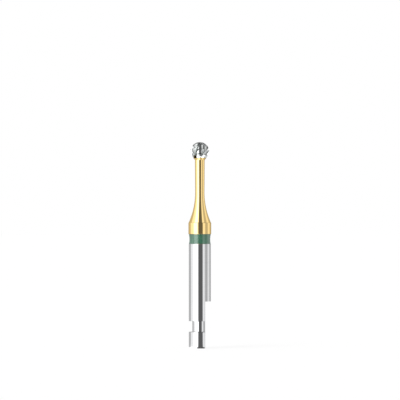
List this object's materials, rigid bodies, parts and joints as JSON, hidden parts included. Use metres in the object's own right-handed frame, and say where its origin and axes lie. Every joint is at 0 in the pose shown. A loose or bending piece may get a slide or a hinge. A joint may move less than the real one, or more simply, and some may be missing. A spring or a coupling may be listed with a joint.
{
  "type": "dental bur",
  "caption": "Round carbide dental bur with cross-cut right-hand teeth, slim gold-plated neck, green colour ring and latch shank.",
  "frame": {"origin": "middle of the latch end's flat face, on the axis of the bur", "axes": "+Z along the axis from the latch end to the head; +X out of the flat of the latch end"},
  "size_m": [0.0024, 0.0024, 0.022],
  "materials": {
    "carbide": "ground tungsten carbide",
    "polished_steel": "polished stainless steel",
    "gold_plating": "polished gold plating on the front of the steel",
    "green_lacquer": "gloss lacquer"
  },
  "bodies": {
    "root": {"cutting_head": "carbide", "shank": "polished_steel", "colour_ring": "green_lacquer"}
  },
  "joints": []
}
